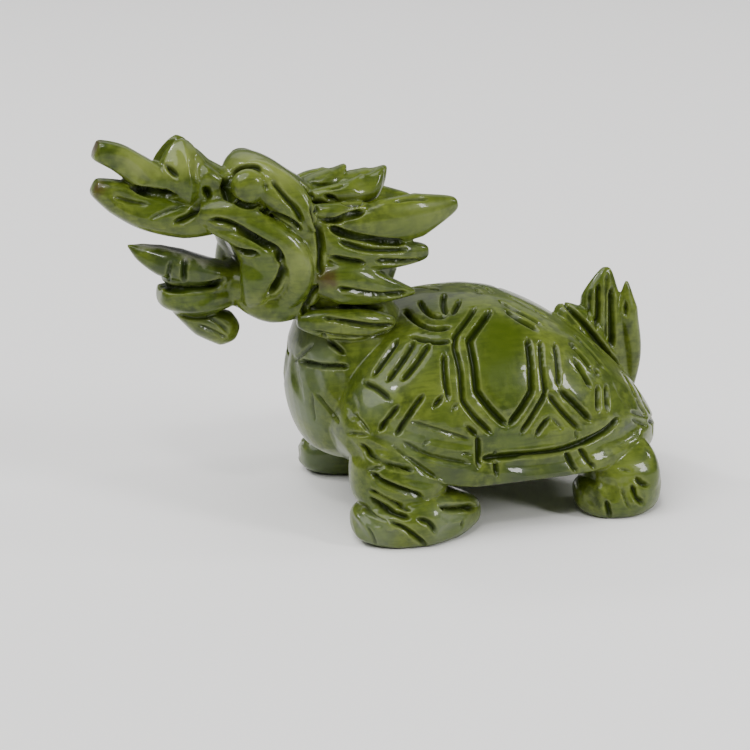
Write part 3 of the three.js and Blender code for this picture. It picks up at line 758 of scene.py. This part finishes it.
def evenly(run, taper):
    # the run again with its points one step apart, and how much of the cut is left at each
    points = np.array(run)
    far = np.concatenate([[0], np.cumsum(np.linalg.norm(np.diff(points, axis=0), axis=1))])
    at = np.linspace(0, far[-1], max(3, int(far[-1] / gougeLaying["step"]) + 1))
    spread = np.stack([np.interp(at, far, points[:, k]) for k in range(3)], axis=1)
    for _ in range(gougeLaying["ironing"]):
        spread[1:-1] = (spread[:-2] + spread[1:-1] + spread[2:]) / 3
    reach = min(taper, far[-1] / 2)
    left = np.clip(np.minimum(at, far[-1] - at) / reach, 0, 1)
    return spread, np.sin(left * math.pi / 2)


def gougeObject(tool, surface):
    points, faces, strength = [], [], []
    for group in (eyeGouges, headGouges, maneGouges, shellGouges, limbGouges, turnedGouges):
        drop = farEyeDrop if group is eyeGouges else 0
        lay = turnedRuns if group is turnedGouges else laidRuns
        for path in group.get(tool, {}).values():
            runs = lay(path, surface)
            for run in runs + [mirroredRun(run, surface, drop) for run in runs]:
                spread, left = evenly(run, gougeTools[tool]["taper"])
                faces += [(len(points) + i, len(points) + i + 1) for i in range(len(spread) - 1)]
                points += spread.tolist()
                strength += left.tolist()
    mesh = bpy.data.meshes.new(tool + "Gouges")
    mesh.from_pydata(points, faces, [])
    mesh.attributes.new("strength", "FLOAT", "POINT").data.foreach_set("value", strength)
    return placed(tool + "Gouges", mesh)


def newTree(name, inputs):
    tree = bpy.data.node_groups.new(name, "GeometryNodeTree")
    for title, kind in inputs:
        tree.interface.new_socket(name=title, in_out="INPUT", socket_type="NodeSocket" + kind)
    tree.interface.new_socket(name="Geometry", in_out="OUTPUT", socket_type="NodeSocketGeometry")
    return tree, tree.nodes.new("NodeGroupInput").outputs


def mathNode(tree, operation, *values):
    node = tree.nodes.new("ShaderNodeMath")
    node.operation = operation
    for socket, value in zip(node.inputs, values):
        if isinstance(value, (int, float)):
            socket.default_value = value
        else:
            tree.links.new(value, socket)
    return node.outputs[0]


def namedNode(tree, name):
    node = tree.nodes.new("GeometryNodeInputNamedAttribute")
    node.data_type = "FLOAT"
    node.inputs["Name"].default_value = name
    return node.outputs["Attribute"]


def keptAs(name, tree, geometry, value):
    # the geometry, with the value kept at its points as an attribute of this name
    keep = tree.nodes.new("GeometryNodeStoreNamedAttribute")
    keep.data_type, keep.domain = "FLOAT", "POINT"
    keep.inputs["Name"].default_value = name
    tree.links.new(geometry, keep.inputs["Geometry"])
    tree.links.new(value, keep.inputs["Value"])
    return keep.outputs["Geometry"]


def finishTree(tree, geometry, material):
    real = tree.nodes.new("GeometryNodeRealizeInstances")
    tree.links.new(geometry, real.inputs["Geometry"])
    finish = tree.nodes.new("GeometryNodeSetMaterial")
    tree.links.new(real.outputs["Geometry"], finish.inputs["Geometry"])
    tree.links.new(material, finish.inputs["Material"])
    tree.links.new(finish.outputs["Geometry"], tree.nodes.new("NodeGroupOutput").inputs["Geometry"])


# the named inputs that take a tool's sizes
cuttingSizes = {"Half Width": "halfWidth", "Depth": "depth", "Roundness": "roundness", "Shade": "shade"}


def carvingTree():
    # sinks the surface under the gouges and keeps how deep, scaled by the tool's shade, as the attribute
    # "cut" for the painted shade in the cuts
    tree, given = newTree("carveGouges", [
        ("Geometry", "Geometry"), ("Gouges", "Object"), *((title, "Float") for title in cuttingSizes),
        ("Finish", "Material")])
    link = tree.links.new
    laid = tree.nodes.new("GeometryNodeObjectInfo")
    link(given["Gouges"], laid.inputs["Object"])
    near = tree.nodes.new("GeometryNodeProximity")
    near.target_element = "EDGES"
    link(laid.outputs["Geometry"], near.inputs[0])
    nearest = tree.nodes.new("GeometryNodeSampleNearest")
    link(laid.outputs["Geometry"], nearest.inputs["Geometry"])
    strength = tree.nodes.new("GeometryNodeSampleIndex")
    link(laid.outputs["Geometry"], strength.inputs["Geometry"])
    link(namedNode(tree, "strength"), strength.inputs["Value"])
    link(nearest.outputs["Index"], strength.inputs["Index"])
    halfWidth = mathNode(tree, "MULTIPLY", given["Half Width"], mathNode(
        tree, "MULTIPLY_ADD", strength.outputs["Value"], 0.8, 0.2))
    share = mathNode(tree, "DIVIDE", near.outputs["Distance"], halfWidth)
    profile = mathNode(tree, "SUBTRACT", 1.0, mathNode(tree, "POWER", share, given["Roundness"]))
    hollow = mathNode(tree, "MAXIMUM", 0.0, profile)
    weakened = mathNode(tree, "MULTIPLY", hollow, strength.outputs["Value"])
    depth = mathNode(tree, "MULTIPLY", weakened, given["Depth"])
    sink = tree.nodes.new("ShaderNodeVectorMath")
    sink.operation = "SCALE"
    link(tree.nodes.new("GeometryNodeInputNormal").outputs[0], sink.inputs[0])
    link(mathNode(tree, "MULTIPLY", depth, -1.0), sink.inputs["Scale"])
    shade = mathNode(tree, "MULTIPLY", depth, given["Shade"])
    deepest = mathNode(tree, "MAXIMUM", namedNode(tree, "cut"), shade)
    move = tree.nodes.new("GeometryNodeSetPosition")
    link(keptAs("cut", tree, given["Geometry"], deepest), move.inputs["Geometry"])
    link(sink.outputs[0], move.inputs["Offset"])
    finishTree(tree, move.outputs["Geometry"], given["Finish"])
    return tree


def ridgeTree():
    # keeps how far each point stands out from its neighbourhood as the attribute "ridge", where the
    # material paints a highlight
    tree, given = newTree("markRidges", [
        ("Geometry", "Geometry"), ("Reach", "Int"), ("Finish", "Material")])
    link = tree.links.new
    place = tree.nodes.new("GeometryNodeInputPosition").outputs[0]
    around = tree.nodes.new("GeometryNodeBlurAttribute")
    around.data_type = "FLOAT_VECTOR"
    link(place, around.inputs["Value"])
    link(given["Reach"], around.inputs["Iterations"])
    apart = tree.nodes.new("ShaderNodeVectorMath")
    apart.operation = "SUBTRACT"
    link(place, apart.inputs[0])
    link(around.outputs[0], apart.inputs[1])
    proud = tree.nodes.new("ShaderNodeVectorMath")
    proud.operation = "DOT_PRODUCT"
    link(apart.outputs["Vector"], proud.inputs[0])
    link(tree.nodes.new("GeometryNodeInputNormal").outputs[0], proud.inputs[1])
    finishTree(tree, keptAs("ridge", tree, given["Geometry"], proud.outputs["Value"]), given["Finish"])
    return tree


def setInput(modifier, title, value):
    for item in modifier.node_group.interface.items_tree:
        if item.in_out == "INPUT" and item.name == title:
            modifier[item.identifier] = value


def surfaceOf(stone):
    return BVHTree.FromObject(stone, bpy.context.evaluated_depsgraph_get())


def carve(stone, tree, tools, finish):
    surface, laid = surfaceOf(stone), []
    for tool in tools:
        laid.append(gougeObject(tool, surface))
        cutting = stone.modifiers.new(tool, "NODES")
        cutting.node_group = tree
        setInput(cutting, "Gouges", laid[-1])
        for title, size in cuttingSizes.items():
            setInput(cutting, title, float(gougeTools[tool][size]))
        setInput(cutting, "Finish", finish)
    settled(stone)
    for gouges in laid:
        mesh = gouges.data
        bpy.data.objects.remove(gouges)
        bpy.data.meshes.remove(mesh)


def smoothAndThin(stone, finish):
    soften = stone.modifiers.new("soften", "SMOOTH")
    soften.factor, soften.iterations = 0.5, stoneBody["soften"]
    marking = stone.modifiers.new("ridges", "NODES")
    marking.node_group = ridgeTree()
    setInput(marking, "Reach", stoneBody["ridgeReach"])
    setInput(marking, "Finish", finish)
    thin = stone.modifiers.new("thin", "DECIMATE")
    thin.ratio = stoneBody["triangles"] / (2 * len(stone.data.polygons))
    settled(stone)
    stone.data.validate()  # thinning folds a few triangles onto each other


# polished green stone, with painted light and shade in places
stoneLook = {
    # painted sheen: a paler green laid where the head catches the most light
    "pale": (0.2, 0.24, 0.056, 1),
    "light": (0.115, 0.15, 0.018, 1),
    "middle": (0.042, 0.07, 0.004, 1),
    # painted reflection: a greyer green where the stone mirrors the pale room
    "paintedHaze": (0.1, 0.13, 0.062, 1),
    # painted shade: a darker green for parts that face down
    "paintedShade": (0.03, 0.045, 0.014, 1),
    "ridgeHighlight": (0.2, 0.235, 0.06, 1),     # painted highlight: a lighter green along the crests of the ridges
    "deep": (0.013, 0.023, 0.002, 1),
    "clear": (0.043, 0.07, 0.002, 1),  # painted shade: the darker, saturated green of the smooth plates and hollows, which take no sheen
    "raw": (0.26, 0.26, 0.2, 1),       # left unpolished inside the mouth
    "stain": (0.05, 0.022, 0.008, 1),
    # sizes and heights are in millimetres, and stops are where a change starts and where it ends
    "cloudSize": 11,
    "cloudStops": (0.3, 0.7),     # from the middle green to the light
    "fleckSize": 1.8,
    "fleckStops": (0.4, 0.62),
    "swarmSize": 4.68,            # of the places where the flecks gather
    "swarmStops": (0.4, 0.7),
    "fleckShare": (0.12, 0.7),    # least and most that the flecks show
    "rippleSize": 1.4,
    "rippleHeight": 0.05,
    "rippleStrength": 0.6,
    "streakSize": (0.6, 5, 0.6),  # fine marks of the polishing, along the figure
    "streakShare": 0.45,          # of the ripple's height
    "streakShade": 0.3,           # how far they darken the stone
    "streakStops": (0.36, 0.52),
    "cutShade": 0.92,             # painted shade: how far the bottom of a cut turns to the deep green
    "cutStops": (0.1, 0.7),
    "ridgeHighlightShare": 0.28,            # how far a ridge turns to the painted highlight green
    "ridgeHighlightStops": (0.4, 1),
    "ridgeHeight": 0.12,
    "roughness": 0.33,
    "shine": 0.16,      # of the stone itself, under the polish
    "polish": 0.36,     # weight of the clear coat, none in the bottoms of the cuts
    "polishStops": (0.25, 0.7),
    "polishRoughness": 0.05,
}
# stains, raw stone and painted light and shade: colour, how strong it is in the middle, how far it reaches
# in millimetres and the pixels it lies at
stoneAndPaintedLightPatches = {
    # painted shade on the middle plate, in the hollow over the shell's front and on the lower lip
    "middlePlate": ("clear", 0.8, 8, [(504, 372), (500, 330)]),
    "topHollow": ("clear", 0.8, 4.5, [(429, 305)]),
    "lowerLip": ("clear", 0.6, 5, [(165, 210)]),
    # painted shade under the jaw, on the beard and on the rim band
    "throat": ("paintedShade", 0.8, 5, [(200, 272), (172, 266)]),
    "beard": ("paintedShade", 0.5, 4, [(205, 326)]),
    "rimBand": ("paintedShade", 0.8, 5, [(455, 472), (520, 472), (560, 470)]),
    # painted sheen and highlights on the snout, brow and cheek
    "snout": ("pale", 0.75, 5, [(140, 162), (182, 158)]),
    "brow": ("pale", 0.6, 6, [(284, 172), (250, 160)]),
    "cheek": ("pale", 0.5, 5, [(300, 262)]),
    # painted light on the upturned leaf of the mane
    "leaf": ("light", 0.6, 7, [(425, 210)]),
    # painted reflection haze on the feet, the chest and the front of the shell
    "foot": ("paintedHaze", 0.7, 6, [(372, 532), (450, 520)]),
    "neck": ("paintedHaze", 0.85, 7, [(312, 362), (302, 408)]),
    "farFoot": ("paintedHaze", 0.8, 6, [(312, 462)]),
    "front": ("paintedHaze", 0.6, 5, [(372, 400), (408, 440)]),
    # painted light on the hind foot
    "hindFoot": ("light", 0.6, 5, [(630, 480)]),
    "jaw": ("raw", 0.85, 2.3, [(146, 245), (153, 245), (160, 246), (167, 248), (174, 250), (188, 255),
                               (202, 260)]),
    "upperTip": ("stain", 0.8, 2.2, [(95, 148)]),
    "lowerTip": ("stain", 0.8, 2.2, [(96, 188)]),
    "mane": ("stain", 0.8, 2.6, [(328, 279)]),
}


def stoneMaterial(surface):
    made = bpy.data.materials.new("greenStone")
    made.use_nodes = True
    nodes, link = made.node_tree.nodes, made.node_tree.links.new
    shader, look = nodes["Principled BSDF"], stoneLook
    place = nodes.new("ShaderNodeTexCoord").outputs["Object"]

    def noise(size, detail, distort=0):
        node = nodes.new("ShaderNodeTexNoise")
        node.inputs["Scale"].default_value = 1 / (size * mm)
        node.inputs["Detail"].default_value = detail
        node.inputs["Distortion"].default_value = distort
        link(place, node.inputs["Vector"])
        return node.outputs["Fac"]

    def ramp(value, stops, low, high):
        node = nodes.new("ShaderNodeValToRGB")
        for end, position, colour in zip(node.color_ramp.elements, stops, (low, high)):
            end.position, end.color = position, colour
        link(value, node.inputs["Fac"])
        return node.outputs["Color"]

    def grey(share):
        return (share, share, share, 1)

    def mixed(share, first, second):
        node = nodes.new("ShaderNodeMix")
        node.data_type = "RGBA"
        link(share, node.inputs["Factor"])
        link(first, node.inputs["A"])
        if isinstance(second, tuple):
            node.inputs["B"].default_value = second
        else:
            link(second, node.inputs["B"])
        return node.outputs["Result"]

    def near(centre, reach, share):
        # all of the share at the centre, none beyond the patch's ragged edge
        apart = nodes.new("ShaderNodeVectorMath")
        apart.operation = "DISTANCE"
        link(place, apart.inputs[0])
        apart.inputs[1].default_value = centre
        ragged = mathNode(made.node_tree, "MULTIPLY_ADD", noise(reach * 0.6, 4), reach * 1.2 * mm,
                          apart.outputs["Value"])
        fall = mathNode(made.node_tree, "DIVIDE", ragged, 1.6 * reach * mm)
        return ramp(fall, (0.5, 1), grey(share), grey(0))

    cloud = ramp(noise(look["cloudSize"], 4, 0.5), look["cloudStops"], look["middle"], look["light"])
    fleck = ramp(noise(look["fleckSize"], 6), look["fleckStops"], look["deep"], look["light"])
    least, most = look["fleckShare"]
    flecked = ramp(noise(look["swarmSize"], 4), look["swarmStops"], grey(least), grey(most))
    body = mixed(flecked, cloud, fleck)
    along = nodes.new("ShaderNodeVectorMath")
    along.operation = "DIVIDE"
    link(place, along.inputs[0])
    along.inputs[1].default_value = [length * mm for length in look["streakSize"]]
    streak = nodes.new("ShaderNodeTexNoise")
    streak.inputs["Scale"].default_value = 1
    link(along.outputs["Vector"], streak.inputs["Vector"])
    streaked = ramp(streak.outputs["Fac"], look["streakStops"], grey(look["streakShade"]), grey(0))
    body = mixed(streaked, body, look["deep"])
    # lays the stains, the raw stone and the painted light and shade over the stone
    for colour, share, reach, pixels in stoneAndPaintedLightPatches.values():
        for pixel in pixels:
            hit = surface.ray_cast(cameraPlace()[0], rayThrough(*pixel))[0]
            body = mixed(near((hit + shellMiddle) * mm, reach, share), body, look[colour])
    cut = nodes.new("ShaderNodeAttribute")
    cut.attribute_name = "cut"
    # painted shade in the bottoms of the cuts
    shaded = ramp(cut.outputs["Fac"], look["cutStops"], grey(0), grey(look["cutShade"]))
    body = mixed(shaded, body, look["deep"])
    polished = ramp(cut.outputs["Fac"], look["polishStops"], grey(look["polish"]), grey(0))
    link(polished, shader.inputs["Coat Weight"])
    # painted highlight on the crests, where the stone stands proud
    ridge = nodes.new("ShaderNodeAttribute")
    ridge.attribute_name = "ridge"
    proud = mathNode(made.node_tree, "MULTIPLY", ridge.outputs["Fac"], 1 / look["ridgeHeight"])
    highlightedRidges = ramp(proud, look["ridgeHighlightStops"], grey(0), grey(look["ridgeHighlightShare"]))
    body = mixed(highlightedRidges, body, look["ridgeHighlight"])
    link(body, shader.inputs["Base Color"])
    ripple = nodes.new("ShaderNodeBump")
    ripple.inputs["Strength"].default_value = look["rippleStrength"]
    ripple.inputs["Distance"].default_value = look["rippleHeight"] * mm
    height = mathNode(made.node_tree, "MULTIPLY_ADD", streak.outputs["Fac"], look["streakShare"],
                      noise(look["rippleSize"], 3))
    link(height, ripple.inputs["Height"])
    link(ripple.outputs["Normal"], shader.inputs["Normal"])
    shader.inputs["Roughness"].default_value = look["roughness"]
    shader.inputs["Specular IOR Level"].default_value = look["shine"]
    shader.inputs["Coat Roughness"].default_value = look["polishRoughness"]
    return made


finish, tree = stoneMaterial(surfaceOf(stone)), carvingTree()
carve(stone, tree, ["facet"], finish)
carve(stone, tree, [tool for tool in gougeTools if tool != "facet"], finish)
smoothAndThin(stone, finish)
print("gouges cut,", len(stone.data.polygons), "faces")


# floor and light
floorLook = {"reach": 12, "colour": (0.88, 0.87, 0.86, 1), "roughness": 0.9}  # reach in metres


def flatFloor():
    reach = floorLook["reach"]
    corners = [(-reach, -reach, 0), (reach, -reach, 0), (reach, reach, 0), (-reach, reach, 0)]
    floor = objectOf("paleFloor", corners, [(0, 1, 2, 3)])
    pale = bpy.data.materials.new("paleFloor")
    pale.use_nodes = True
    shader = pale.node_tree.nodes["Principled BSDF"]
    shader.inputs["Base Color"].default_value = floorLook["colour"]
    shader.inputs["Roughness"].default_value = floorLook["roughness"]
    floor.data.materials.append(pale)


studio = {
    "world": (0.66, 0.66, 0.68, 1),
    "worldStrength": 0.14,
    "lamps": {  # azimuth is measured as the camera's, in degrees, and distance and sizes are in metres
        "window": {"azimuth": 132, "elevation": 26, "distance": 0.8, "size": (0.14, 0.24), "power": 3.4},
        "overCamera": {"azimuth": 58, "elevation": 52, "distance": 0.8, "size": (0.09, 0.05), "power": 1},
        "rearWindow": {"azimuth": 170, "elevation": 31, "distance": 0.8, "size": (0.07, 0.1), "power": 0.8},
        "leftHand": {"azimuth": -38, "elevation": 42, "distance": 0.9, "size": (0.12, 0.1), "power": 1.9},
        "farWall": {"azimuth": -113, "elevation": 36, "distance": 1, "size": (1.3, 0.6), "power": 1.6},
    },
    "skylight": {"azimuth": 12, "elevation": 64, "spread": 64, "strength": 3.75},
}


def hang(data, lamp, distance):
    # aimed at the middle of the stone
    back = towards(lamp["azimuth"], lamp["elevation"])
    light = placed(data.name, data)
    light.location = back * distance + (shellMiddle + Vector((0, 0, shellForm["top"] / 2))) * mm
    light.rotation_euler = (-back).to_track_quat("-Z", "Y").to_euler()


def addLights():
    world = bpy.data.worlds.new("studio")
    world.use_nodes = True
    background = world.node_tree.nodes["Background"]
    background.inputs["Color"].default_value = studio["world"]
    background.inputs["Strength"].default_value = studio["worldStrength"]
    bpy.context.scene.world = world
    for name, lamp in studio["lamps"].items():
        data = bpy.data.lights.new(name, "AREA")
        data.shape, data.energy = "RECTANGLE", lamp["power"]
        data.size, data.size_y = lamp["size"]
        hang(data, lamp, lamp["distance"])
    sky = bpy.data.lights.new("skylight", "SUN")
    sky.angle, sky.energy = math.radians(studio["skylight"]["spread"]), studio["skylight"]["strength"]
    hang(sky, studio["skylight"], 1)


flatFloor()
addLights()
print("floor and lights placed")

# into the frame's place and metres
stone.data.transform(Matrix.Scale(mm, 4) @ Matrix.Translation(shellMiddle))
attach(stone, "root")
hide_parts(stoneNode)
print("stone in its place")
